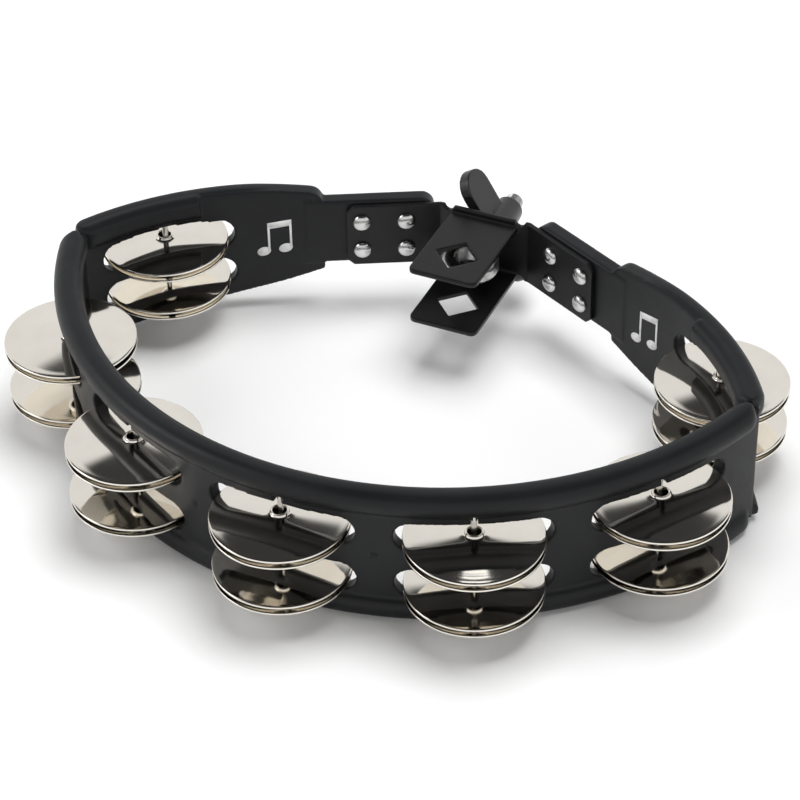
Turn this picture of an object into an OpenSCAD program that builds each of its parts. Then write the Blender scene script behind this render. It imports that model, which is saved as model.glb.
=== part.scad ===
// Mountable half-moon tambourine: a moulded frame with seven jingle stations,
// riveted to a steel bracket whose eyebolt clamps a vertical rod.
// +Z is up, the clamp is at the back (+Y), and the frame rests on z = 0.

/* [Jingles] */
// Diameter of a jingle
jingle_d = 55; // [50:0.5:56]
// Height of a jingle from its rim to the end of its collar
jingle_h = 3.4; // [3.2:0.1:3.6]
// Thickness of the jingle sheet
jingle_t = 0.6; // [0.5:0.1:0.8]
// Outer diameter of the collar round the jingle's hole
collar_d = 7.4; // [7:0.1:9]
// Diameter of the hole in a jingle
jingle_hole_d = 5.6; // [5:0.1:6]
// Diameter of the jingle pins
pin_d = 2.5; // [2:0.1:3]
// Gap between the two rims of a pair at rest
rim_gap = 2.2; // [1:0.1:2.4]
// How far outwards from its pin a jingle hangs
jingle_shift = 1.2; // [0:0.1:1.2]

/* [Frame] */
// Radius of the front arc, measured to the jingle pins
arc_r = 158; // [155:1:162]
// Angle between neighbouring stations on the front arc
station_pitch = 27.4; // [27:0.1:28]
// Height of the front arc
frame_h = 62; // [61.5:0.5:63]
// Width of the rails along the top and bottom edges
rail_w = 12; // [10:0.5:13]
// Height of the rails on the front arc
rail_h = 10.5; // [9.5:0.5:10.5]
// Thickness of the recessed panel between the rails
panel_t = 6; // [5:0.5:7]
// Length of a jingle slot
slot_l = 61; // [60:0.5:64]
// Height of a jingle slot
slot_h = 13.6; // [13:0.1:13.6]

/* [Arms] */
// Radius of the curved part of a back arm
arm_r = 131; // [128:1:134]
// Angle of an arm's straight part to the width of the frame
arm_turn = 27; // [26:0.5:28]
// Length of the straight part before the tongue starts
panel_l = 28; // [26:0.5:30]
// How far the tongue reaches along the arm
tongue_end = 76.5; // [74:0.5:77]
// Thickness of the tongue
tongue_t = 7; // [6:0.5:7]

/* [Clamp] */
// Diameter of the eyebolt's shank
bolt_d = 8; // [8:0.1:8.2]
// Diameter of the eye that takes the rod
eye_d = 13.2; // [12:0.1:13.2]
// Outer diameter of the eye
eye_od = 25.6; // [24:0.2:26]
// Height of the eye
eye_h = 8; // [7:0.5:9]
// Width across the flats of the diamond holes
diamond_w = 13.6; // [13.5:0.1:14]
// Thickness of the bracket's sheet
sheet_t = 2.2; // [2:0.1:2.4]
// Width of the bracket's flanges
flange_w = 31; // [30:0.5:32]
// How far the eye is pulled back from the diamonds
eye_travel = 13; // [12:0.5:13]

/* [Hidden] */
$fn = 96;
reach = 60;

station_count = 7;
front_count = 5;
slot_names = ["top", "bottom"];
pair_names = ["upper", "lower"];

// Slots: floors on the front arc and on the arms
front_floors = [34.4, 11.2];
arm_floors = [34.4, 14.4];
rest_gap = 0.2;

// Jingle section: a turned lip, a shallow cone and an upright collar
lip_w = 2.2;
lip_rise = 0.4;
cone_r = 4.6;
cone_z = 2.1;
collar_z = 2.4;

pin_top = 57;
pin_inset = 0.6;

// Front arc
rail_round = 4.5;
panel_z = rail_h / 2;
front_panel_half = 73;
front_rail_half = 70;
rail_floors = [0, frame_h - rail_h];
dimple_d = 3.2;
dimple_depth = 0.8;
dimple_angle = station_pitch / 2;

// Back arms, seen in each arm's own frame: x runs along the straight part
// towards the clamp, y points outwards, and the origin is where the curve ends
arm_x = 93.3;
arm_y = 10.3;
arm_arc = 36.7;
arm_rail_end = 35.6;
arm_station = 18.2;
arm_station_x = arm_x - arm_r * sin(arm_turn) + arm_r * sin(arm_turn + arm_station);
thick_rail_start = 11.4;
foot_rail_h = 5;
pad_drop = 0.5;
corner_drop = 3.6;
edge_r = 235;
foot_z = 2.6;
corner_x = 157;
droop_start = -10;
end_round = 5;

// Tongues and bracket
tongue_z = 23.6;
tongue_h = 31.5;
tongue_round = 6;
wing_start = 38;
wing_z = 23.1;
wing_h = 30.5;
rivet_places = [[44.5, 31.2], [63.8, 31.2], [44.5, 45.5], [63.8, 45.5]];
rivet_d = 4.8;
rivet_head_d = 8;
rivet_head_h = 2.6;
rivet_tail_d = 7;
rivet_tail_h = 1.2;
rivet_fit = 0.1;
wing_out = -tongue_t / 2;
wing_in = wing_out - sheet_t;
wing_mid = (wing_in + wing_out) / 2;
wing_chamfer = 4;
web_y = 41;
flange_y = -5.5;
flange_top = 51;
flange_low = 23.5;
bend_r = 4;
flange_round = 3;
diamond_y = 12;
relief_r = 2.2;

// A wing's line at offset n from the arm's middle, on the right-hand side
function wing_x_at(n, y) =
    arm_x + n * sin(arm_turn) - (y - arm_y - n * cos(arm_turn)) / tan(arm_turn);
function wing_point(n, s) = [
    arm_x - s * cos(arm_turn) + n * sin(arm_turn),
    arm_y + s * sin(arm_turn) + n * cos(arm_turn)
];

// Clamp
bolt_z = 38.5;
eye_y = diamond_y + eye_travel;
eye_round = 2;
bolt_end = 77;
bolt_hole_fit = 0.3;
thread_fit = 0.05;
washer_d = 17;
washer_t = 1.6;
nut_y = web_y + sheet_t + washer_t;
nut_l = 25;
hub_d = 17;
hub_top_d = 12.6;
paddle_reach = 28;
paddle_w = 17;
paddle_t = 5;
paddle_z = 10.7;
paddle_turn = 59;
end_chamfer = 1;

// The model's origin is under the middle of its length and width
origin_y = (arc_r + jingle_shift + jingle_d / 2 - bolt_end) / 2;

pin_names = [for (i = [1:station_count]) str("pin_", i)];
jingle_keys = [
    for (i = [1:station_count], s = [0, 1], p = [0, 1]) [i, s, p]
];
function jingle_name(k) =
    str("jingle_", k[0], "_", slot_names[k[1]], "_", pair_names[k[2]]);

// ---- places ----

module placed() {
    translate([0, origin_y, 0]) children();
}

// The left arm's own frame
module at_arm() {
    translate([-arm_x, arm_y, 0]) rotate([0, 0, arm_turn]) children();
}

module both_sides() {
    children();
    mirror([1, 0, 0]) children();
}

// A point on the left arm's curve, turned so that y points outwards
module on_arm_curve(angle) {
    at_arm() translate([0, -arm_r, 0]) rotate([0, 0, angle]) translate([0, arm_r, 0]) children();
}

// Station i's pin axis, with y pointing outwards
module at_station(i) {
    if (i == 1) on_arm_curve(arm_station) children();
    else if (i == station_count) mirror([1, 0, 0]) on_arm_curve(arm_station) children();
    else rotate([0, 0, 180 + (i - (station_count + 1) / 2) * station_pitch])
        translate([0, arc_r, 0]) children();
}

function on_arm(i) = i == 1 || i == station_count;
function floors(i) = on_arm(i) ? arm_floors : front_floors;

// ---- outlines ----

module rounded(w, h, r) {
    translate([r, 0]) square([w - 2 * r, h]);
    translate([0, r]) square([w, h - 2 * r]);
    for (x = [r, w - r], y = [r, h - r]) translate([x, y]) circle(r = r);
}

module rail_section() {
    translate([-rail_w / 2, 0]) rounded(rail_w, rail_h, rail_round);
}

module panel_section() {
    translate([-panel_t / 2, panel_z]) square([panel_t, frame_h - 2 * panel_z]);
}

// What is cut away to round a corner whose tip is at the origin
module corner_waste(r) {
    difference() {
        translate([-r, -r]) square(2 * r);
        translate([-r, -r]) circle(r = r);
    }
}

// ---- frame ----

// The rounded end of a rail
module rail_end() {
    rotate_extrude() intersection() {
        rail_section();
        square([rail_w, rail_h]);
    }
}

// A ring piece of radius r, centred on the +y direction, cut from a section
module sweep_arc(r, half) {
    rotate([0, 0, 90 - half]) rotate_extrude(angle = 2 * half) translate([r, 0]) children();
}

module slot(r, floor_z) {
    end_r = slot_h / 2;
    half = (slot_l / 2 - end_r) / r * 180 / PI;
    sweep_arc(r, half) translate([-rail_w, floor_z]) square([2 * rail_w, slot_h]);
    for (side = [-1, 1]) rotate([0, 0, side * half]) translate([0, r + rail_w, floor_z + end_r])
        rotate([90, 0, 0]) cylinder(r = end_r, h = 2 * rail_w);
}

module front_band() {
    rotate([0, 0, 180]) {
        sweep_arc(arc_r, front_panel_half) panel_section();
        for (z = rail_floors) {
            sweep_arc(arc_r, front_rail_half) translate([0, z]) rail_section();
            for (side = [-1, 1]) rotate([0, 0, side * front_rail_half])
                translate([0, arc_r, z]) rail_end();
        }
    }
}

module front_dimples() {
    for (side = [-1, 1]) rotate([0, 0, 180 + side * dimple_angle])
        translate([0, arc_r + panel_t / 2 - dimple_depth, frame_h / 2])
            rotate([-90, 0, 0]) cylinder(d = dimple_d, h = reach);
}

// A piece of the arm's curve between two angles and two offsets
module arm_sweep(from, to, inner, outer, z0, z1) {
    translate([0, -arm_r, 0]) rotate([0, 0, 90 + from]) rotate_extrude(angle = to - from)
        translate([arm_r + inner, z0]) square([outer - inner, z1 - z0]);
}

// Side view of the straight part, whose top edge droops towards its end
module straight_outline() {
    droop_z = frame_h - edge_r;
    end_z = droop_z + sqrt(pow(edge_r, 2) - pow(panel_l - droop_start, 2));
    difference() {
        square([panel_l, frame_h]);
        difference() {
            square([panel_l + 1, frame_h + 1]);
            translate([droop_start, droop_z]) circle(r = edge_r, $fn = 360);
        }
        translate([panel_l, end_z]) corner_waste(end_round);
    }
}

module straight_plate(inner, outer) {
    translate([0, outer, 0]) rotate([90, 0, 0]) linear_extrude(outer - inner) children();
}

module arm_plates() {
    half = panel_t / 2;
    rail = rail_w / 2;
    top = frame_h - rail_h;
    arm_sweep(0, arm_arc, -half, half, 0, frame_h - corner_drop);
    arm_sweep(0, arm_rail_end, -half, rail, top, frame_h);
    arm_sweep(thick_rail_start, arm_rail_end, -rail, 0, top - pad_drop, frame_h);
    straight_plate(-half, half) straight_outline();
    straight_plate(-half, rail) difference() {
        straight_outline();
        translate([0, -rail_h]) straight_outline();
        translate([-1, -1]) square([panel_l + 2, top - rail_h]);
    }
}

module foot_curve(r) {
    translate([-corner_x, -3 * reach, foot_z + edge_r]) rotate([-90, 0, 0])
        cylinder(r = r, h = 6 * reach, $fn = 360);
}

// Everything below the arms' rising bottom edge
module below_arms() {
    difference() {
        translate([-2 * corner_x, -2 * reach, -1]) cube([2 * corner_x, 4 * reach, foot_z + edge_r]);
        foot_curve(edge_r);
    }
}

module arm_foot_rail() {
    half = panel_t / 2;
    rail = rail_w / 2;
    intersection() {
        at_arm() {
            arm_sweep(0, arm_rail_end, -half, rail, 0, frame_h);
            straight_plate(-half, rail) square([panel_l, frame_h / 2]);
        }
        difference() {
            foot_curve(edge_r);
            foot_curve(edge_r - foot_rail_h);
        }
        translate([-2 * corner_x, -2 * reach, 0]) cube([2 * corner_x, 4 * reach, frame_h / 2]);
    }
}

module tongue_outline() {
    difference() {
        translate([panel_l - end_round, tongue_z])
            square([tongue_end - panel_l + end_round, tongue_h]);
        translate([tongue_end, tongue_z + tongue_h]) corner_waste(tongue_round);
        translate([tongue_end, tongue_z]) mirror([0, 1]) corner_waste(tongue_round);
    }
}

module rivet_holes() {
    for (p = rivet_places) translate([p[0], reach / 2, p[1]])
        rotate([90, 0, 0]) cylinder(d = rivet_d + rivet_fit, h = reach);
}

module arm() {
    difference() {
        at_arm() arm_plates();
        below_arms();
    }
    arm_foot_rail();
    at_arm() straight_plate(-tongue_t / 2, tongue_t / 2) tongue_outline();
}

module frame() {
    color([0.16, 0.17, 0.18]) placed() difference() {
        union() {
            front_band();
            both_sides() arm();
        }
        front_dimples();
        for (i = [1:station_count], z = floors(i)) at_station(i)
            translate([0, on_arm(i) ? -arm_r : -arc_r, 0]) slot(on_arm(i) ? arm_r : arc_r, z);
        for (i = [1:station_count]) at_station(i)
            translate([0, 0, -1]) cylinder(d = pin_d, h = pin_top + 1);
        both_sides() at_arm() rivet_holes();
    }
}

// ---- jingles and pins ----

function foot_at(i) = on_arm(i)
    ? foot_z + edge_r - sqrt(pow(edge_r, 2) - pow(corner_x - arm_station_x, 2)) : 0;

module pin(i) {
    bottom = foot_at(i) + pin_inset;
    color("silver") placed() at_station(i) translate([0, 0, bottom])
        cylinder(d = pin_d, h = pin_top - bottom);
}

// Half section of a jingle with its rim at z = 0 and its collar upwards
module jingle_section() {
    rim_r = jingle_d / 2;
    collar_r = collar_d / 2;
    hole_r = jingle_hole_d / 2;
    polygon([
        [rim_r, 0], [rim_r, jingle_t], [rim_r - lip_w, jingle_t + lip_rise],
        [cone_r, cone_z], [collar_r, collar_z], [collar_r, jingle_h], [hole_r, jingle_h],
        [hole_r, cone_z - jingle_t], [rim_r - lip_w, lip_rise]
    ]);
}

module jingle(k) {
    floor_z = floors(k[0])[k[1]];
    low_rim = floor_z + rest_gap + jingle_h;
    color([0.8, 0.78, 0.74]) placed() at_station(k[0]) translate([0, jingle_shift, low_rim])
        if (k[2] == 0) translate([0, 0, rim_gap]) rotate_extrude() jingle_section();
        else mirror([0, 0, 1]) rotate_extrude() jingle_section();
}

// ---- bracket ----

// Side view of the flanges and web, x = y of the model and y = its height
module channel_outline() {
    outer = web_y + sheet_t;
    tall = flange_top - flange_low;
    intersection() {
        difference() {
            translate([flange_y - reach, flange_low]) rounded(outer - flange_y + reach, tall, bend_r);
            translate([flange_y - reach, flange_low + sheet_t])
                rounded(web_y - flange_y + reach, tall - 2 * sheet_t, bend_r - sheet_t);
        }
        translate([flange_y, flange_low]) square([outer - flange_y, tall]);
    }
}

module channel() {
    intersection() {
        rotate([90, 0, 90]) linear_extrude(flange_w, center = true) channel_outline();
        translate([-flange_w / 2, flange_y, 0]) linear_extrude(frame_h)
            rounded(flange_w, web_y - flange_y + reach, flange_round);
    }
}

// Web and wings seen from above, the wings lying on the tongues' inner faces
module web_and_wings() {
    right = [
        [wing_x_at(wing_in, web_y), web_y],
        wing_point(wing_in, wing_start),
        wing_point(wing_out, wing_start),
        [wing_x_at(wing_out, web_y + sheet_t), web_y + sheet_t]
    ];
    left = [for (i = [len(right) - 1:-1:0]) [-right[i][0], right[i][1]]];
    polygon(concat(right, left));
}

// Cuts the corners of the wings' free ends
module wing_corners() {
    both_sides() at_arm() for (z = [wing_z, wing_z + wing_h])
        translate([wing_start, wing_mid, z]) rotate([0, 45, 0])
            cube([wing_chamfer, 3 * sheet_t, wing_chamfer], center = true);
}

module bracket() {
    color([0.1, 0.1, 0.11]) placed() difference() {
        union() {
            channel();
            translate([0, 0, wing_z]) linear_extrude(wing_h) web_and_wings();
        }
        wing_corners();
        for (z = [flange_low, flange_top]) translate([0, diamond_y, z]) rotate([0, 0, 45])
            cube([diamond_w, diamond_w, bend_r * 2], center = true);
        translate([0, web_y - reach / 2, bolt_z]) rotate([-90, 0, 0])
            cylinder(d = bolt_d + 2 * bolt_hole_fit, h = reach);
        for (side = [-1, 1], z = [wing_z, wing_z + wing_h])
            translate([side * (flange_w / 2 + relief_r / 2), web_y - sheet_t, z])
                rotate([-90, 0, 0]) cylinder(r = relief_r, h = 3 * sheet_t);
        both_sides() at_arm() rivet_holes();
    }
}

module rivet() {
    inner = wing_in;
    outer = tongue_t / 2;
    cap_r = (pow(rivet_head_d / 2, 2) + pow(rivet_head_h, 2)) / (2 * rivet_head_h);
    rotate([90, 0, 0]) {
        translate([0, 0, -outer]) cylinder(d = rivet_d, h = outer - inner);
        translate([0, 0, -outer - rivet_tail_h]) cylinder(d = rivet_tail_d, h = rivet_tail_h);
        intersection() {
            translate([0, 0, -inner + rivet_head_h - cap_r]) sphere(r = cap_r);
            translate([0, 0, -inner]) cylinder(d = rivet_head_d + 1, h = rivet_head_h + 1);
        }
    }
}

module arm_rivets() {
    at_arm() for (p = rivet_places) translate([p[0], 0, p[1]]) rivet();
}

module rivets_left() {
    color("silver") placed() arm_rivets();
}

module rivets_right() {
    color("silver") placed() mirror([1, 0, 0]) arm_rivets();
}

// ---- clamp ----

module eyebolt() {
    color("silver") placed() translate([0, 0, bolt_z]) difference() {
        union() {
            translate([0, eye_y, 0]) rotate_extrude() translate([0, -eye_h / 2])
                intersection() {
                    translate([-eye_od / 2, 0]) rounded(eye_od, eye_h, eye_round);
                    square([eye_od, eye_h]);
                }
            translate([0, eye_y, 0]) rotate([-90, 0, 0])
                cylinder(d = bolt_d, h = bolt_end - eye_y - end_chamfer);
            translate([0, bolt_end - end_chamfer, 0]) rotate([-90, 0, 0])
                cylinder(d1 = bolt_d, d2 = bolt_d - 2 * end_chamfer, h = end_chamfer);
        }
        translate([0, eye_y, -eye_h]) cylinder(d = eye_d, h = 2 * eye_h);
    }
}

module washer() {
    color("silver") placed() translate([0, web_y + sheet_t, bolt_z]) rotate([-90, 0, 0])
        difference() {
            cylinder(d = washer_d, h = washer_t);
            translate([0, 0, -1]) cylinder(d = bolt_d + 2 * bolt_hole_fit, h = washer_t + 2);
        }
}

// Both paddles of the wing nut as one blade along x, its broad side along the bolt
module paddles() {
    tip = paddle_reach - paddle_w / 2;
    rotate([90, 0, 0]) linear_extrude(paddle_t, center = true) {
        square([2 * tip, paddle_w], center = true);
        for (x = [-tip, tip]) translate([x, 0]) circle(d = paddle_w);
    }
}

module wing_nut() {
    color([0.12, 0.12, 0.13]) placed() translate([0, nut_y, bolt_z]) rotate([-90, 0, 0])
        difference() {
            union() {
                cylinder(d1 = hub_d, d2 = hub_top_d, h = nut_l);
                rotate([0, 0, paddle_turn]) translate([0, 0, paddle_z]) paddles();
            }
            translate([0, 0, -1]) cylinder(d = bolt_d + 2 * thread_fit, h = nut_l + reach);
        }
}

frame();
bracket();
rivets_left();
rivets_right();
eyebolt();
washer();
wing_nut();
for (i = [1:station_count])
    pin(i);
for (k = jingle_keys)
    jingle(k);
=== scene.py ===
import math

import bmesh
import bpy
from mathutils import Matrix, Vector


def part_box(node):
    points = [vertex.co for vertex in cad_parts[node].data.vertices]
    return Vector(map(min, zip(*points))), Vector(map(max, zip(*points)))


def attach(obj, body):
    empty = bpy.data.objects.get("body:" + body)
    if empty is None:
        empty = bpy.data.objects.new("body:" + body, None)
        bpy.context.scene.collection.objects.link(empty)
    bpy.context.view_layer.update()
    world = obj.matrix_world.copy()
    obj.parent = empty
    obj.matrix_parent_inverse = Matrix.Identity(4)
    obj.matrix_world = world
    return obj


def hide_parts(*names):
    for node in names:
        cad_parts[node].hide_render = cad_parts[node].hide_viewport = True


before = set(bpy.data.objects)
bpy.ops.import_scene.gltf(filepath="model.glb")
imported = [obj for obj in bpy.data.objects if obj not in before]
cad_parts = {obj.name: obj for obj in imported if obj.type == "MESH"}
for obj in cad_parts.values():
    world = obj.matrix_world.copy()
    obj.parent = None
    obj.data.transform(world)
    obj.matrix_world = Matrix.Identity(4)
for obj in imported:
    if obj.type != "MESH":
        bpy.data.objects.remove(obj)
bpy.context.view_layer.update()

# Shapes are worked out in millimetres about the front arc's centre, x to the right,
# y towards the clamp and z up from the surface, and are placed in metres in the row frame.
MM = 0.001


def box_mm(node):
    lo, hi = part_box(node)
    return lo / MM, hi / MM


def middle_mm(node):
    lo, hi = box_mm(node)
    return (lo + hi) / 2


# ---- driving sizes ----

STATIONS = range(1, 8)
PIN_4 = middle_mm("pin_4")
PIN_5 = middle_mm("pin_5")
STEP_BACK = PIN_5.y - PIN_4.y
ARC_R = (PIN_5.x ** 2 + STEP_BACK ** 2) / (2 * STEP_BACK)
ARC_Y = PIN_4.y + ARC_R
FRAME_H = box_mm("frame")[1].z
PANEL_HALF = 3.0
RAIL_HALF = 6.0
RAIL_H = 10.5
RAIL_ROUND = 4.9
PANEL_Z = 5.0
FRONT_PANEL_HALF = 73.0
FRONT_RAIL_HALF = 72.2
SLOT_L = 61.0
SLOT_H = 13.6
FRONT_FLOORS = (34.4, 11.2)
ARM_FLOORS = (34.4, 14.4)
NOTCH_HALF = 1.25
NOTCH_H = 5.0
SLOT_LAND = 0.8
SLOT_RELIEF = 0.84
NOTCH_FLOOR = -0.4
CUT_REACH = 20.0
DIMPLE_ANGLE = 13.7
DIMPLE_R = 1.6

ARM_X = 93.3
ARM_Y = 10.3
ARM_R = 131.0
ARM_TURN = math.radians(27.0)
ARM_CURVE = math.radians(36.7) * ARM_R
ARM_RAIL_END = math.radians(35.9) * ARM_R
THICK_START = math.radians(11.4) * ARM_R
PANEL_END = 28.0
EDGE_R = 235.0
CORNER_X = 157.0
FOOT_Z = 2.6
FOOT_RAIL_H = 5.0
ARM_ROUND = 3.4
INNER_ROUND = 4.0
FOOT_ROUND = 1.8
DROOP_START = -10.0
END_ROUND = 5.0
TONGUE_END = 76.5
TONGUE_Z = (23.6, 55.1)
TONGUE_HALF = 3.5
TONGUE_ROUND = 6.0
ROUND_STEPS = (15, 30, 45, 60, 75)
RAIL_SINK = 3.6
WELL_R = 2.2
WELL_TOP = 0.2

JINGLE_R = 27.5
JINGLE_H = 3.4
JINGLE_T = 0.6
COLLAR_R = 3.7
HOLE_R = 2.8
PIN_R = 1.25
CONE_BOW = 0.05

RIVET_PLACES = ((44.5, 31.2), (63.8, 31.2), (44.5, 45.5), (63.8, 45.5))
SHEET_T = 2.2
BOLT_R = 4.0
THREAD_PITCH = 1.25

MARK_S = 6.8
MARK_Z = 36.8
MARK_SINK = 0.05


def to_row(x, y, z):
    return Vector((x, y + ARC_Y, z)) * MM


# ---- materials ----

def new_material(name):
    material = bpy.data.materials.new(name)
    material.use_nodes = True
    nodes = material.node_tree.nodes
    links = material.node_tree.links
    return material, nodes, links, nodes["Principled BSDF"]


def noise_node(nodes, links, scale, detail=4.0, roughness=0.5):
    """Noise over the piece's own coordinates; scale is in features per metre."""
    coords = nodes.new("ShaderNodeTexCoord")
    noise = nodes.new("ShaderNodeTexNoise")
    noise.inputs["Scale"].default_value = scale
    noise.inputs["Detail"].default_value = detail
    noise.inputs["Roughness"].default_value = roughness
    links.new(coords.outputs["Object"], noise.inputs["Vector"])
    return noise


def ramp_node(nodes, links, source, low, high, dark, light):
    ramp = nodes.new("ShaderNodeValToRGB")
    ramp.color_ramp.elements[0].position = low
    ramp.color_ramp.elements[0].color = (*dark, 1)
    ramp.color_ramp.elements[1].position = high
    ramp.color_ramp.elements[1].color = (*light, 1)
    links.new(source, ramp.inputs["Fac"])
    return ramp


def range_node(nodes, links, source, low, high):
    spread = nodes.new("ShaderNodeMapRange")
    spread.inputs["To Min"].default_value = low
    spread.inputs["To Max"].default_value = high
    links.new(source, spread.inputs["Value"])
    return spread


def bump_node(nodes, links, source, strength, distance, before=None):
    bump = nodes.new("ShaderNodeBump")
    bump.inputs["Strength"].default_value = strength
    bump.inputs["Distance"].default_value = distance
    links.new(source, bump.inputs["Height"])
    if before is not None:
        links.new(before.outputs["Normal"], bump.inputs["Normal"])
    return bump


def moulded_plastic():
    material, nodes, links, shader = new_material("moulded_plastic")
    cloud = noise_node(nodes, links, 35.0, 3.0)
    dark, light = (0.0066, 0.0072, 0.0082), (0.0102, 0.0110, 0.0124)
    tint = ramp_node(nodes, links, cloud.outputs["Fac"], 0.3, 0.75, dark, light)
    links.new(tint.outputs["Color"], shader.inputs["Base Color"])
    rub = noise_node(nodes, links, 180.0, 5.0)
    gloss = range_node(nodes, links, rub.outputs["Fac"], 0.36, 0.52)
    links.new(gloss.outputs["Result"], shader.inputs["Roughness"])
    grain = noise_node(nodes, links, 2600.0, 2.0)
    spark = bump_node(nodes, links, grain.outputs["Fac"], 0.22, 0.00012)
    wave = noise_node(nodes, links, 90.0, 2.0)
    sink = bump_node(nodes, links, wave.outputs["Fac"], 0.08, 0.0006, spark)
    links.new(sink.outputs["Normal"], shader.inputs["Normal"])
    shader.inputs["Specular IOR Level"].default_value = 0.27
    return material


def powder_coat():
    material, nodes, links, shader = new_material("black_powder_coat")
    cloud = noise_node(nodes, links, 120.0, 3.0)
    dark, light = (0.0055, 0.0055, 0.006), (0.009, 0.009, 0.0098)
    tint = ramp_node(nodes, links, cloud.outputs["Fac"], 0.3, 0.75, dark, light)
    links.new(tint.outputs["Color"], shader.inputs["Base Color"])
    gloss = range_node(nodes, links, cloud.outputs["Fac"], 0.3, 0.42)
    links.new(gloss.outputs["Result"], shader.inputs["Roughness"])
    shader.inputs["Specular IOR Level"].default_value = 0.3
    peel = noise_node(nodes, links, 1300.0, 2.0)
    bump = bump_node(nodes, links, peel.outputs["Fac"], 0.2, 0.0001)
    links.new(bump.outputs["Normal"], shader.inputs["Normal"])
    return material


def satin_black():
    material, nodes, links, shader = new_material("satin_black")
    cloud = noise_node(nodes, links, 160.0, 4.0)
    dark, light = (0.007, 0.007, 0.0077), (0.012, 0.012, 0.013)
    tint = ramp_node(nodes, links, cloud.outputs["Fac"], 0.3, 0.75, dark, light)
    links.new(tint.outputs["Color"], shader.inputs["Base Color"])
    gloss = range_node(nodes, links, cloud.outputs["Fac"], 0.24, 0.38)
    links.new(gloss.outputs["Result"], shader.inputs["Roughness"])
    pits = noise_node(nodes, links, 900.0, 3.0)
    bump = bump_node(nodes, links, pits.outputs["Fac"], 0.15, 0.00012)
    links.new(bump.outputs["Normal"], shader.inputs["Normal"])
    return material


def spun_nickel():
    """Polished nickel whose faint lathe rings run round each jingle's own axis."""
    material, nodes, links, shader = new_material("spun_nickel")
    shader.inputs["Metallic"].default_value = 1.0
    coords = nodes.new("ShaderNodeTexCoord")
    flatten = nodes.new("ShaderNodeVectorMath")
    flatten.operation = "MULTIPLY"
    flatten.inputs[1].default_value = (1, 1, 0)
    links.new(coords.outputs["Object"], flatten.inputs[0])
    radius = nodes.new("ShaderNodeVectorMath")
    radius.operation = "LENGTH"
    links.new(flatten.outputs["Vector"], radius.inputs[0])
    rings = nodes.new("ShaderNodeTexNoise")
    rings.noise_dimensions = "1D"
    rings.inputs["Scale"].default_value = 1500.0
    rings.inputs["Detail"].default_value = 3.0
    links.new(radius.outputs["Value"], rings.inputs["W"])
    smear = noise_node(nodes, links, 60.0, 3.0)
    dull, clear = (0.80, 0.76, 0.69), (0.87, 0.835, 0.77)
    tint = ramp_node(nodes, links, smear.outputs["Fac"], 0.3, 0.8, dull, clear)
    links.new(tint.outputs["Color"], shader.inputs["Base Color"])
    gloss = range_node(nodes, links, smear.outputs["Fac"], 0.03, 0.09)
    links.new(gloss.outputs["Result"], shader.inputs["Roughness"])
    bump = bump_node(nodes, links, rings.outputs["Fac"], 0.04, 0.00003)
    links.new(bump.outputs["Normal"], shader.inputs["Normal"])
    return material


def bright_steel(name, dark, light, low, high):
    material, nodes, links, shader = new_material(name)
    shader.inputs["Metallic"].default_value = 1.0
    smear = noise_node(nodes, links, 240.0, 4.0)
    tint = ramp_node(nodes, links, smear.outputs["Fac"], 0.3, 0.75, dark, light)
    links.new(tint.outputs["Color"], shader.inputs["Base Color"])
    gloss = range_node(nodes, links, smear.outputs["Fac"], low, high)
    links.new(gloss.outputs["Result"], shader.inputs["Roughness"])
    fine = noise_node(nodes, links, 2200.0, 2.0)
    bump = bump_node(nodes, links, fine.outputs["Fac"], 0.06, 0.00008)
    links.new(bump.outputs["Normal"], shader.inputs["Normal"])
    return material


def white_print():
    material, nodes, links, shader = new_material("white_print")
    wear = noise_node(nodes, links, 700.0, 4.0)
    worn, fresh = (0.72, 0.72, 0.71), (0.86, 0.86, 0.85)
    tint = ramp_node(nodes, links, wear.outputs["Fac"], 0.25, 0.5, worn, fresh)
    links.new(tint.outputs["Color"], shader.inputs["Base Color"])
    gloss = range_node(nodes, links, wear.outputs["Fac"], 0.4, 0.55)
    links.new(gloss.outputs["Result"], shader.inputs["Roughness"])
    return material


PLASTIC = moulded_plastic()
POWDER = powder_coat()
BLACK = satin_black()
NICKEL = spun_nickel()
ZINC = bright_steel("bright_zinc", (0.62, 0.62, 0.62), (0.72, 0.72, 0.71), 0.14, 0.26)
BOLT_STEEL = bright_steel("bolt_steel", (0.50, 0.50, 0.49), (0.62, 0.61, 0.60), 0.22, 0.36)
PIN_STEEL = bright_steel("pin_steel", (0.60, 0.58, 0.55), (0.70, 0.68, 0.64), 0.16, 0.28)
WHITE = white_print()


# ---- mesh helpers ----

def loft(rings):
    """A closed solid through rings of the same number of points, in order."""
    bm = bmesh.new()
    rows = [[bm.verts.new(p) for p in ring] for ring in rings]
    count = len(rows[0])
    for low, high in zip(rows, rows[1:]):
        for i in range(count):
            j = (i + 1) % count
            bm.faces.new((low[i], low[j], high[j], high[i]))
    bm.faces.new(rows[0][::-1])
    bm.faces.new(rows[-1])
    bmesh.ops.recalc_face_normals(bm, faces=bm.faces)
    return bm


def lathe(profile, segments):
    """A ring solid from a closed (radius, height) outline turned round +Z."""
    bm = bmesh.new()
    rows = []
    for i in range(segments):
        a = 2 * math.pi * i / segments
        rows.append([bm.verts.new((r * math.cos(a), r * math.sin(a), z)) for r, z in profile])
    count = len(profile)
    for i in range(segments):
        here, after = rows[i], rows[(i + 1) % segments]
        for k in range(count):
            m = (k + 1) % count
            bm.faces.new((here[k], after[k], after[m], here[m]))
    bmesh.ops.remove_doubles(bm, verts=bm.verts, dist=1e-6)
    bmesh.ops.recalc_face_normals(bm, faces=bm.faces)
    return bm


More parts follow.
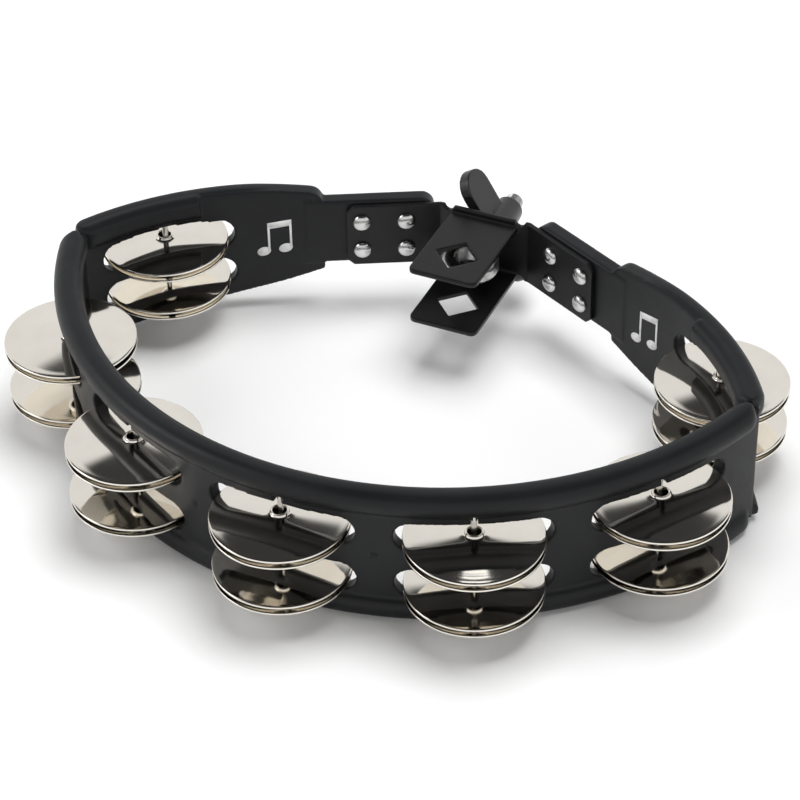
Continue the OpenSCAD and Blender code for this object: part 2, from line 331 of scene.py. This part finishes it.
def merged(parts):
    """Several bmeshes as one, shells and all."""
    whole = bmesh.new()
    for bm in parts:
        mesh = bpy.data.meshes.new("part")
        bm.to_mesh(mesh)
        bm.free()
        whole.from_mesh(mesh)
        bpy.data.meshes.remove(mesh)
    return whole


def placed(bm, matrix):
    bmesh.ops.transform(bm, matrix=matrix, verts=bm.verts)
    return bm


def add_object(name, bm, scale=MM, shift=(0.0, 0.0, 0.0)):
    bmesh.ops.scale(bm, vec=(scale,) * 3, verts=bm.verts)
    bmesh.ops.translate(bm, vec=shift, verts=bm.verts)
    mesh = bpy.data.meshes.new(name)
    bm.to_mesh(mesh)
    bm.free()
    piece = bpy.data.objects.new(name, mesh)
    bpy.context.scene.collection.objects.link(piece)
    return piece


def loop_object(name, bm):
    """An object from millimetres about the arc's centre."""
    return add_object(name, bm, MM, (0.0, ARC_Y * MM, 0.0))


def apply_modifiers(piece):
    bpy.context.view_layer.update()
    graph = bpy.context.evaluated_depsgraph_get()
    baked = bpy.data.meshes.new_from_object(piece.evaluated_get(graph))
    baked.name = piece.name
    piece.modifiers.clear()
    piece.data = baked


def cut(bm, cutters):
    """bm less the cutters, all in millimetres."""
    solid = add_object("cut_solid", bm, 1.0)
    tool = add_object("cut_tool", merged(cutters), 1.0)
    trim = solid.modifiers.new("trim", "BOOLEAN")
    trim.operation = "DIFFERENCE"
    trim.solver = "EXACT"
    trim.object = tool
    apply_modifiers(solid)
    out = bmesh.new()
    out.from_mesh(solid.data)
    bpy.data.objects.remove(solid)
    bpy.data.objects.remove(tool)
    return out


def soften(piece, voxel, passes):
    """Joins a piece's shells into one skin and rounds its edges, as moulding or coating does."""
    remesh = piece.modifiers.new("skin", "REMESH")
    remesh.mode = "VOXEL"
    remesh.voxel_size = voxel * MM
    smooth = piece.modifiers.new("round", "SMOOTH")
    smooth.factor = 0.5
    smooth.iterations = passes
    apply_modifiers(piece)


def finish_piece(piece, material, body, nodes=()):
    piece.data.materials.clear()
    piece.data.materials.append(material)
    piece.data.polygons.foreach_set("use_smooth", [True] * len(piece.data.polygons))
    if nodes:
        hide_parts(*nodes)
    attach(piece, body)
    return piece


# ---- paths ----

def front_frame(angle_deg):
    """Point on the front arc and its outward direction."""
    a = math.radians(angle_deg)
    outward = Vector((math.sin(a), -math.cos(a), 0))
    return outward * ARC_R, outward


def arm_frame(s, side):
    """Point on an arm's middle line and its outward direction.

    s is the distance along it, 0 where the curve ends, towards the clamp; side is -1 or 1.
    """
    along = Vector((-math.cos(ARM_TURN), math.sin(ARM_TURN), 0))
    outward = Vector((math.sin(ARM_TURN), math.cos(ARM_TURN), 0))
    end = Vector((ARM_X, ARM_Y, 0))
    if s >= 0:
        point = end + along * s
    else:
        centre = end - outward * ARM_R
        a = math.pi / 2 - ARM_TURN + s / ARM_R
        outward = Vector((math.cos(a), math.sin(a), 0))
        point = centre + outward * ARM_R
    flip = Vector((side, 1, 1))
    return point * flip, outward * flip


def sweep(path, sections):
    """A solid whose section at path[i] is sections[i], a loop of (offset, height)."""
    rings = []
    for (point, outward), section in zip(path, sections):
        rings.append([point + outward * off + Vector((0, 0, z)) for off, z in section])
    return loft(rings)


def steps(start, end, size):
    count = max(2, math.ceil(abs(end - start) / size))
    return [start + (end - start) * i / count for i in range(count + 1)]


def plate_section(inner, outer, low, high):
    return [(inner, low), (outer, low), (outer, high), (inner, high)]


def rounded_section(inner, outer, low, high, radius, points=6):
    section = []
    corners = ((outer - radius, low + radius, -90), (outer - radius, high - radius, 0),
               (inner + radius, high - radius, 90), (inner + radius, low + radius, 180))
    for cx, cz, start in corners:
        for i in range(points + 1):
            a = math.radians(start + 90 * i / points)
            section.append((cx + radius * math.cos(a), cz + radius * math.sin(a)))
    return section


# ---- frame ----

def arm_top(s):
    """Height of an arm's top edge, which droops and then rounds over at its end."""
    reach = max(0.0, s - DROOP_START)
    top = FRAME_H - EDGE_R + math.sqrt(EDGE_R ** 2 - reach ** 2)
    into = s - (PANEL_END - END_ROUND)
    if into > 0:
        top -= END_ROUND - math.sqrt(max(0.0, END_ROUND ** 2 - into ** 2))
    return top


def arm_bottom(s, side):
    """Height of an arm's bottom edge, which rises towards the clamp."""
    run = CORNER_X - abs(arm_frame(s, side)[0].x)
    return FOOT_Z + EDGE_R - math.sqrt(EDGE_R ** 2 - run ** 2)


def stadium(length, height, points=12):
    """A round-ended slot's outline as (along, up), with its middle at (0, 0)."""
    radius = height / 2
    outline = []
    for side, start in ((1, -90), (-1, 90)):
        for i in range(points + 1):
            a = math.radians(start + 180 * i / points)
            outline.append((side * (length / 2 - radius) + radius * math.cos(a), radius * math.sin(a)))
    return outline


def relieved(outline, behind):
    """A slot's outline with its top raised, because its ceiling slopes up behind the visible edge."""
    raise_by = SLOT_RELIEF * max(0.0, behind)
    return [(along, up + raise_by if up > 0 else up) for along, up in outline]


def front_slot(angle_deg, floor):
    land = PANEL_HALF - SLOT_LAND
    rings = []
    for depth in (-CUT_REACH, land, CUT_REACH):
        ring = []
        for along, up in relieved(stadium(SLOT_L, SLOT_H), land - depth):
            point, outward = front_frame(angle_deg + math.degrees(along / ARC_R))
            ring.append(point + outward * depth + Vector((0, 0, floor + SLOT_H / 2 + up)))
        rings.append(ring)
    return loft(rings)


def arm_slot(middle, side, floor):
    land = SLOT_LAND - PANEL_HALF
    rings = []
    for depth in (-CUT_REACH, land, CUT_REACH):
        ring = []
        for along, up in relieved(stadium(SLOT_L, SLOT_H), depth - land):
            point, outward = arm_frame(middle + along, side)
            ring.append(point + outward * depth + Vector((0, 0, floor + SLOT_H / 2 + up)))
        rings.append(ring)
    return loft(rings)


def upright_cylinder(x, y, low, high, radius, sides=24):
    rings = []
    for z in (low, high):
        rings.append([Vector((x + radius * math.cos(2 * math.pi * i / sides),
                              y + radius * math.sin(2 * math.pi * i / sides), z)) for i in range(sides)])
    return loft(rings)


def station_angle(i):
    """Where station i is on the front arc, in degrees from its middle."""
    pin = middle_mm(f"pin_{i}")
    return math.degrees(math.atan2(pin.x, ARC_Y - pin.y))


def arm_station_s():
    """Distance of the arm's station along its middle line."""
    pin = middle_mm("pin_7")
    outward = Vector((math.sin(ARM_TURN), math.cos(ARM_TURN)))
    centre = Vector((ARM_X, ARM_Y)) - outward * ARM_R
    a = math.atan2(pin.y - ARC_Y - centre.y, pin.x - centre.x)
    return (a - (math.pi / 2 - ARM_TURN)) * ARM_R


def front_notch(angle_deg, floor):
    """The groove above a slot's middle, in which the pin is seen."""
    top = floor + SLOT_H
    rings = []
    for depth in (NOTCH_FLOOR, CUT_REACH):
        ring = []
        for along, up in stadium(2 * NOTCH_H + 2 * NOTCH_HALF, 2 * NOTCH_HALF):
            point, outward = front_frame(angle_deg + math.degrees(up / ARC_R))
            ring.append(point + outward * depth + Vector((0, 0, top + along)))
        rings.append(ring)
    return loft(rings)


def front_panel():
    path = [front_frame(a) for a in steps(-FRONT_PANEL_HALF, FRONT_PANEL_HALF, 1.0)]
    section = plate_section(-PANEL_HALF, PANEL_HALF, PANEL_Z, FRAME_H - PANEL_Z)
    places = [(station_angle(i), floor) for i in range(2, 7) for floor in FRONT_FLOORS]
    slots = [front_slot(angle, floor) for angle, floor in places]
    for side in (-1, 1):
        point, outward = front_frame(side * DIMPLE_ANGLE)
        centre = point + outward * (PANEL_HALF + 0.5)
        ball = bmesh.new()
        bmesh.ops.create_icosphere(ball, subdivisions=3, radius=DIMPLE_R,
                                   matrix=Matrix.Translation(centre + Vector((0, 0, FRAME_H / 2))))
        slots.append(ball)
    slotted = cut(sweep(path, [section] * len(path)), slots)
    return cut(slotted, [front_notch(angle, floor) for angle, floor in places])


def pinched(section, middle, share):
    """A section drawn in towards offset middle, for a rail's rounded end."""
    return [(middle + (off - middle) * share, z) for off, z in section]


def front_rail(low):
    end_len = RAIL_HALF
    half = FRONT_RAIL_HALF
    turn = math.degrees(end_len / ARC_R)
    angles = steps(-half + turn, half - turn, 0.8)
    section = rounded_section(-RAIL_HALF, RAIL_HALF, low, low + RAIL_H, RAIL_ROUND)
    path, sections = [], []
    ends = [math.cos(math.radians(a)) for a in (2, 12, 24, 36, 48, 60, 72)]
    for k in ends:
        path.append(front_frame(-half + turn - turn * k))
        sections.append(pinched(section, 0.0, math.sqrt(1 - k * k)))
    for a in angles:
        path.append(front_frame(a))
        sections.append(section)
    for k in reversed(ends):
        path.append(front_frame(half - turn + turn * k))
        sections.append(pinched(section, 0.0, math.sqrt(1 - k * k)))
    return sweep(path, sections)


def rail_path(start, end, side):
    """Places along an arm, with extra ones close to the start for its rounded end."""
    close = [start + RAIL_HALF * (1 - math.cos(math.radians(a))) for a in (2, 15, 30, 45, 60, 75, 90)]
    places = close + [s for s in steps(start, end, 1.2) if s > close[-1]]
    return places, [arm_frame(s, side) for s in places]


def end_share(s, start):
    """How much of a rail's width is left at s, next to its rounded end."""
    left = min(1.0, (s - start) / RAIL_HALF)
    return max(0.05, math.sqrt(1 - (1 - left) ** 2))


def arm_panel(side):
    places = steps(-ARM_CURVE, PANEL_END - END_ROUND, 1.2)
    places += [PANEL_END - END_ROUND * (1 - math.sin(math.radians(a))) for a in (*ROUND_STEPS, 88)]
    path = [arm_frame(s, side) for s in places]
    sections = []
    for s in places:
        top = min(arm_top(s), FRAME_H - 0.5) if s > -ARM_RAIL_END + 4 else FRAME_H - RAIL_SINK
        sections.append(plate_section(-PANEL_HALF, PANEL_HALF, arm_bottom(s, side), top))
    slots = [arm_slot(arm_station_s(), side, floor) for floor in ARM_FLOORS]
    return cut(sweep(path, sections), slots)


def arm_top_rail(side):
    places, path = rail_path(-ARM_RAIL_END, PANEL_END - END_ROUND, side)
    extra = [PANEL_END - END_ROUND * (1 - math.sin(math.radians(a))) for a in (*ROUND_STEPS, 88)]
    places += extra
    path += [arm_frame(s, side) for s in extra]
    sections = []
    for s in places:
        low = min(FRAME_H, arm_top(min(s, PANEL_END - END_ROUND))) - RAIL_H
        section = rounded_section(-PANEL_HALF, RAIL_HALF, low, arm_top(s), ARM_ROUND)
        sections.append(pinched(section, 0.0, end_share(s, -ARM_RAIL_END)))
    return sweep(path, sections)


def arm_inner_rail(side):
    places, path = rail_path(-ARM_RAIL_END, -THICK_START, side)
    sections = []
    for s in places:
        section = rounded_section(-RAIL_HALF, PANEL_HALF, FRAME_H - RAIL_H - 0.5, FRAME_H, INNER_ROUND)
        sections.append(pinched(section, 0.0, end_share(s, -ARM_RAIL_END)))
    return sweep(path, sections)


def arm_foot_rail(side):
    places = steps(-ARM_RAIL_END, PANEL_END - 1.0, 1.5)
    path = [arm_frame(s, side) for s in places]
    sections = []
    for s in places:
        low = arm_bottom(s, side)
        sections.append(rounded_section(-PANEL_HALF, RAIL_HALF, low, low + FOOT_RAIL_H, FOOT_ROUND))
    return sweep(path, sections)


def tongue(side):
    low, high = TONGUE_Z
    places = steps(PANEL_END - 8.0, TONGUE_END - TONGUE_ROUND, 4.0)
    places += [TONGUE_END - TONGUE_ROUND * (1 - math.sin(math.radians(a))) for a in (*ROUND_STEPS, 90)]
    path = [arm_frame(s, side) for s in places]
    sections = []
    for s in places:
        into = max(0.0, s - (TONGUE_END - TONGUE_ROUND))
        lost = TONGUE_ROUND - math.sqrt(max(0.0, TONGUE_ROUND ** 2 - into ** 2))
        sections.append(plate_section(-TONGUE_HALF, TONGUE_HALF, low + lost, high - lost))
    return sweep(path, sections)


def build_frame():
    parts = [front_panel()]
    wells = []
    for i in STATIONS:
        pin = middle_mm(f"pin_{i}")
        foot = box_mm(f"pin_{i}")[0].z
        wells.append(upright_cylinder(pin.x, pin.y - ARC_Y, -5.0, foot + WELL_TOP, WELL_R))
    parts.append(front_rail(FRAME_H - RAIL_H))
    parts.append(cut(front_rail(0.0), wells[1:-1]))
    for side in (-1, 1):
        parts += [arm_panel(side), arm_top_rail(side), arm_inner_rail(side)]
        parts += [arm_foot_rail(side), tongue(side)]
    piece = loop_object("frame_moulding", merged(parts))
    soften(piece, 0.6, 5)
    finish_piece(piece, PLASTIC, "frame_body", ["frame"])


# ---- jingles and pins ----

def jingle_profile():
    """Closed outline of a jingle with its rim at 0 and its collar up."""
    cone_r, cone_z = 4.9, 2.15
    lip_r, lip_z = 25.2, 1.06
    outer = [(JINGLE_R - 0.2, 0.0), (JINGLE_R - 0.05, 0.05), (JINGLE_R, 0.15), (JINGLE_R, 0.7),
             (JINGLE_R - 0.07, 0.86), (JINGLE_R - 0.25, 0.95), (JINGLE_R - 0.7, 0.98), (lip_r + 0.3, 1.05)]
    for i in range(13):
        t = i / 12
        bow = CONE_BOW * math.sin(math.pi * t)
        outer.append((lip_r + (cone_r - lip_r) * t, lip_z + (cone_z - lip_z) * t + bow))
    outer += [(4.35, 2.22), (3.95, 2.36), (COLLAR_R + 0.02, 2.6), (COLLAR_R, 3.1), (COLLAR_R - 0.1, 3.3),
              (COLLAR_R - 0.3, JINGLE_H), (HOLE_R + 0.25, JINGLE_H), (HOLE_R + 0.06, 3.3), (HOLE_R, 3.1)]
    inner = [(HOLE_R, 2.1), (HOLE_R + 0.4, 1.75), (4.0, 1.6), (cone_r, cone_z - JINGLE_T)]
    for i in range(1, 6):
        t = i / 6
        inner.append((cone_r + (lip_r - cone_r) * t,
                      cone_z - JINGLE_T + (lip_z - cone_z) * t + CONE_BOW * math.sin(math.pi * t)))
    inner += [(lip_r, lip_z - JINGLE_T), (JINGLE_R - 0.9, 0.12)]
    return outer + inner


def build_jingles():
    mesh = None
    for i in STATIONS:
        for slot in ("top", "bottom"):
            for which in ("upper", "lower"):
                node = f"jingle_{i}_{slot}_{which}"
                lo, hi = box_mm(node)
                hub = middle_mm(node)
                if mesh is None:
                    piece = add_object(node + "_spun", lathe(jingle_profile(), 128))
                    mesh = piece.data
                else:
                    piece = bpy.data.objects.new(node + "_spun", mesh)
                    bpy.context.scene.collection.objects.link(piece)
                rim = lo.z if which == "upper" else hi.z
                flip = Matrix.Identity(4) if which == "upper" else Matrix.Rotation(math.pi, 4, "X")
                piece.matrix_world = Matrix.Translation(Vector((hub.x, hub.y, rim)) * MM) @ flip
                finish_piece(piece, NICKEL, node, [node])


def build_pins():
    bevel = 0.3
    for i in STATIONS:
        node = f"pin_{i}"
        lo, hi = box_mm(node)
        length = hi.z - lo.z
        outline = [(0.0, 0.0), (PIN_R - bevel, 0.0), (PIN_R, bevel), (PIN_R, length / 3),
                   (PIN_R, 2 * length / 3), (PIN_R, length - bevel), (PIN_R - bevel, length), (0.0, length)]
        piece = add_object(node + "_drawn", lathe(outline, 32))
        middle = middle_mm(node)
        piece.location = Vector((middle.x, middle.y, lo.z)) * MM
        finish_piece(piece, PIN_STEEL, "frame_body", [node])


# ---- bracket, rivets and clamp ----

def softened_copy(node, name, voxel, passes, material, body):
    """A CAD node's shape with its edges rounded."""
    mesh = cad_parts[node].data.copy()
    piece = bpy.data.objects.new(name, mesh)
    bpy.context.scene.collection.objects.link(piece)
    weld = piece.modifiers.new("weld", "WELD")
    weld.merge_threshold = 1e-6
    soften(piece, voxel, passes)
    return finish_piece(piece, material, body, [node])


def rivet_profile():
    """Half outline of a set rivet, its head's seat at height 0 and its shank downwards."""
    head_r, head_h = 4.0, 2.6
    shank_r = 2.4
    tail = -(SHEET_T + 2 * TONGUE_HALF)
    outline = []
    for i in range(11):
        a = math.radians(90 * i / 10)
        outline.append((head_r * math.sin(a) ** 0.9, 0.35 + (head_h - 0.35) * math.cos(a)))
    outline += [(head_r, 0.18), (head_r - 0.15, 0.02), (shank_r, 0.0), (shank_r, tail),
                (3.35, tail - 0.02), (3.5, tail - 0.3), (3.45, tail - 0.9), (3.1, tail - 1.2),
                (0.9, tail - 1.12), (0.0, tail - 0.8)]
    return outline


def build_rivets(side, name):
    parts = []
    for s, z in RIVET_PLACES:
        point, outward = arm_frame(s, side)
        seat = point - outward * (TONGUE_HALF + SHEET_T) + Vector((0, 0, z))
        turn = (-outward).to_track_quat("Z", "Y").to_matrix().to_4x4()
        parts.append(placed(lathe(rivet_profile(), 48), Matrix.Translation(seat) @ turn))
    piece = loop_object(name + "_domed", merged(parts))
    finish_piece(piece, ZINC, "frame_body", [name])


def ring_profile():
    """Closed outline of the eye's ring, round outside and almost square inside."""
    lo, hi = box_mm("eyebolt")
    outer = (hi.x - lo.x) / 2
    half = (hi.z - lo.z) / 2
    inner = 6.6
    wide, tight = 2.6, 0.6
    outline = []
    for cx, cz, start in ((outer - wide, half - wide, 90), (outer - wide, wide - half, 0)):
        for i in range(8):
            a = math.radians(start - 90 * i / 7)
            outline.append((cx + wide * math.cos(a), cz + wide * math.sin(a)))
    for cx, cz, start in ((inner + tight, tight - half, -90), (inner + tight, half - tight, -180)):
        for i in range(4):
            a = math.radians(start - 90 * i / 3)
            outline.append((cx + tight * math.cos(a), cz + tight * math.sin(a)))
    return outline


def threaded_rod(length):
    """A rod along +Z with a rounded screw thread, closed at both ends."""
    around, rise = 40, THREAD_PITCH / 8
    depth = 0.62
    rings = []
    count = round(length / rise)
    for k in range(count + 1):
        z = length * k / count
        ring = []
        for i in range(around):
            turn = i / around
            phase = (z / THREAD_PITCH - turn) % 1.0
            tooth = 0.5 + 0.5 * math.cos(2 * math.pi * phase)
            ease = min(1.0, length - z, z + 0.3)
            r = BOLT_R - depth * (1 - tooth) - (1 - ease) * depth
            ring.append(Vector((r * math.cos(2 * math.pi * turn), r * math.sin(2 * math.pi * turn), z)))
        rings.append(ring)
    return loft(rings)


def build_eyebolt():
    lo, hi = box_mm("eyebolt")
    ring_r = (hi.x - lo.x) / 2
    eye_y = lo.y + ring_r - ARC_Y
    axis_z = (lo.z + hi.z) / 2
    end_y = hi.y - ARC_Y
    thread_start = 46.0
    overlap = 1.0
    towards_y = Matrix.Rotation(-math.pi / 2, 4, "X")
    eye = placed(lathe(ring_profile(), 128), Matrix.Translation((0, eye_y, axis_z)))
    neck_rings = []
    turns = [2 * math.pi * i / 40 for i in range(40)]
    for y, r in ((eye_y + 9.0, 3.95), (eye_y + 11.4, 3.95), (eye_y + 13.0, 3.7), (eye_y + 15.0, 3.6),
                 (thread_start, 3.6)):
        neck_rings.append([Vector((r * math.cos(a), y, axis_z + r * math.sin(a))) for a in turns])
    body = loop_object("eyebolt_forged", merged([eye, loft(neck_rings)]))
    soften(body, 0.3, 4)
    rod = placed(threaded_rod(end_y - thread_start + overlap),
                 Matrix.Translation((0, thread_start - overlap, axis_z)) @ towards_y)
    thread = loop_object("eyebolt_thread", rod)
    finish_piece(body, BOLT_STEEL, "eyebolt", ["eyebolt"])
    finish_piece(thread, BOLT_STEEL, "eyebolt")


def build_washer():
    lo, hi = box_mm("washer")
    outer = (hi.x - lo.x) / 2
    thick = hi.y - lo.y
    inner, edge = 4.3, 0.25
    outline = [(outer - edge, 0), (outer, edge), (outer, thick - edge), (outer - edge, thick),
               (inner + edge, thick), (inner, thick - edge), (inner, edge), (inner + edge, 0)]
    spot = Vector(((lo.x + hi.x) / 2, lo.y - ARC_Y, (lo.z + hi.z) / 2))
    disc = placed(lathe(outline, 64), Matrix.Translation(spot) @ Matrix.Rotation(-math.pi / 2, 4, "X"))
    finish_piece(loop_object("washer_plain", disc), BOLT_STEEL, "frame_body", ["washer"])


# ---- printed mark: a pair of beamed notes ----

def flat_solid(outline, thick):
    """An outline of (across, up) as a thin plate that is thick mm deep along +Z."""
    return loft([[Vector((x, y, z)) for x, y in outline] for z in (0.0, thick)])


def note_head(x, y):
    tilt = math.radians(20)
    long_r, short_r = 3.1, 2.2
    outline = []
    for i in range(32):
        a = 2 * math.pi * i / 32
        u, v = long_r * math.cos(a), short_r * math.sin(a)
        outline.append((x + u * math.cos(tilt) - v * math.sin(tilt),
                        y + u * math.sin(tilt) + v * math.cos(tilt)))
    return outline


def note_shapes():
    heads = ((-5.4, -6.4), (4.2, -4.9))
    near, far, tall = 1.9, 2.9, 13.0
    stems = [[(x + near, y), (x + far, y), (x + far, y + tall), (x + near, y + tall)] for x, y in heads]
    beam = [(-3.5, 5.2), (7.1, 6.9), (7.1, 10.0), (-3.5, 8.3)]
    return [*(note_head(x, y) for x, y in heads), beam, *stems]


def build_mark(side, name):
    """The print on an arm's inner face, each shape a little thicker than the one before it."""
    point, outward = arm_frame(MARK_S, side)
    across = Vector((0, 0, 1)).cross(-outward)
    base = point - outward * (PANEL_HALF - MARK_SINK) + Vector((0, 0, MARK_Z))
    turn = Matrix((across, Vector((0, 0, 1)), -outward)).transposed().to_4x4()
    film, stagger = 0.16, 0.01
    parts = [flat_solid(outline, film + stagger * k) for k, outline in enumerate(note_shapes())]
    mark = placed(merged(parts), Matrix.Translation(base) @ turn)
    finish_piece(loop_object(name, mark), WHITE, "frame_body")


# ---- stage ----

def build_camera():
    azimuth, elevation, roll = (math.radians(a) for a in (25.04, 38.25, -1.2))
    target = to_row(14.0, -78.4, 42.6)
    distance = 1.12
    back = Vector((math.sin(azimuth) * math.cos(elevation), -math.cos(azimuth) * math.cos(elevation),
                   math.sin(elevation)))
    camera = bpy.data.cameras.new("camera")
    camera.lens = 125.6
    camera.sensor_width = 36.0
    camera.clip_start = 0.05
    holder = bpy.data.objects.new("camera", camera)
    bpy.context.scene.collection.objects.link(holder)
    holder.location = target + back * distance
    look = (-back).to_track_quat("-Z", "Y").to_matrix().to_4x4()
    spin = Matrix.Rotation(roll, 4, "Z")
    holder.matrix_world = Matrix.Translation(holder.location) @ look @ spin
    bpy.context.scene.camera = holder


def add_area(name, place, aim, size, power, size_y=None):
    light = bpy.data.lights.new(name, "AREA")
    light.energy = power
    light.size = size
    if size_y:
        light.shape = "RECTANGLE"
        light.size_y = size_y
    holder = bpy.data.objects.new(name, light)
    holder.location = place
    holder.rotation_mode = "QUATERNION"
    holder.rotation_quaternion = (Vector(aim) - Vector(place)).to_track_quat("-Z", "Y")
    bpy.context.scene.collection.objects.link(holder)
    return holder


def build_floor():
    material, nodes, links, shader = new_material("pale_floor")
    cloud = noise_node(nodes, links, 2.0, 2.0)
    dull, clean = (0.90, 0.90, 0.90), (0.93, 0.93, 0.93)
    tint = ramp_node(nodes, links, cloud.outputs["Fac"], 0.3, 0.7, dull, clean)
    links.new(tint.outputs["Color"], shader.inputs["Base Color"])
    shader.inputs["Roughness"].default_value = 0.9
    shader.inputs["Specular IOR Level"].default_value = 0.1
    bm = bmesh.new()
    bmesh.ops.create_grid(bm, x_segments=8, y_segments=8, size=6.0)
    floor = add_object("floor", bm, 1.0)
    floor.data.materials.append(material)


def build_world():
    """White low down all round, like a studio sweep, and dark overhead between the lights."""
    world = bpy.data.worlds.new("studio")
    bpy.context.scene.world = world
    world.use_nodes = True
    nodes, links = world.node_tree.nodes, world.node_tree.links
    coords = nodes.new("ShaderNodeTexCoord")
    split = nodes.new("ShaderNodeSeparateXYZ")
    ramp = nodes.new("ShaderNodeValToRGB")
    ramp.color_ramp.elements[0].position = 0.0
    ramp.color_ramp.elements[0].color = (1.0, 1.0, 1.0, 1)
    ramp.color_ramp.elements[1].position = 0.95
    ramp.color_ramp.elements[1].color = (0.03, 0.03, 0.034, 1)
    for position, level in ((0.670, 0.95), (0.686, 0.05)):
        stop = ramp.color_ramp.elements.new(position)
        stop.color = (level, level, level, 1)
    links.new(coords.outputs["Generated"], split.inputs["Vector"])
    links.new(split.outputs["Z"], ramp.inputs["Fac"])
    background = nodes["Background"]
    background.inputs["Strength"].default_value = 0.9
    links.new(ramp.outputs["Color"], background.inputs["Color"])


def build_stage():
    build_world()
    build_floor()
    build_camera()
    overhead = add_area("overhead", (0.1, 0.25, 1.25), (0, 0, 0), 0.9, 14.0, 0.7)
    overhead.visible_glossy = False
    add_area("left_key", (-1.1, -0.5, 1.0), (0, 0, 0), 0.7, 5.0)
    add_area("back_softbox", (-0.362, 0.946, 1.325), (0, 0, 0), 0.085, 0.014, 0.03)
    view = bpy.context.scene.view_settings
    view.view_transform = "Standard"


build_stage()
build_frame()
build_jingles()
build_pins()
softened_copy("bracket", "bracket_pressed", 0.36, 3, POWDER, "frame_body")
softened_copy("wing_nut", "wing_nut_cast", 0.36, 6, BLACK, "wing_nut")
build_rivets(-1, "rivets_left")
build_rivets(1, "rivets_right")
build_eyebolt()
build_washer()
build_mark(-1, "notes_print_left")
build_mark(1, "notes_print_right")
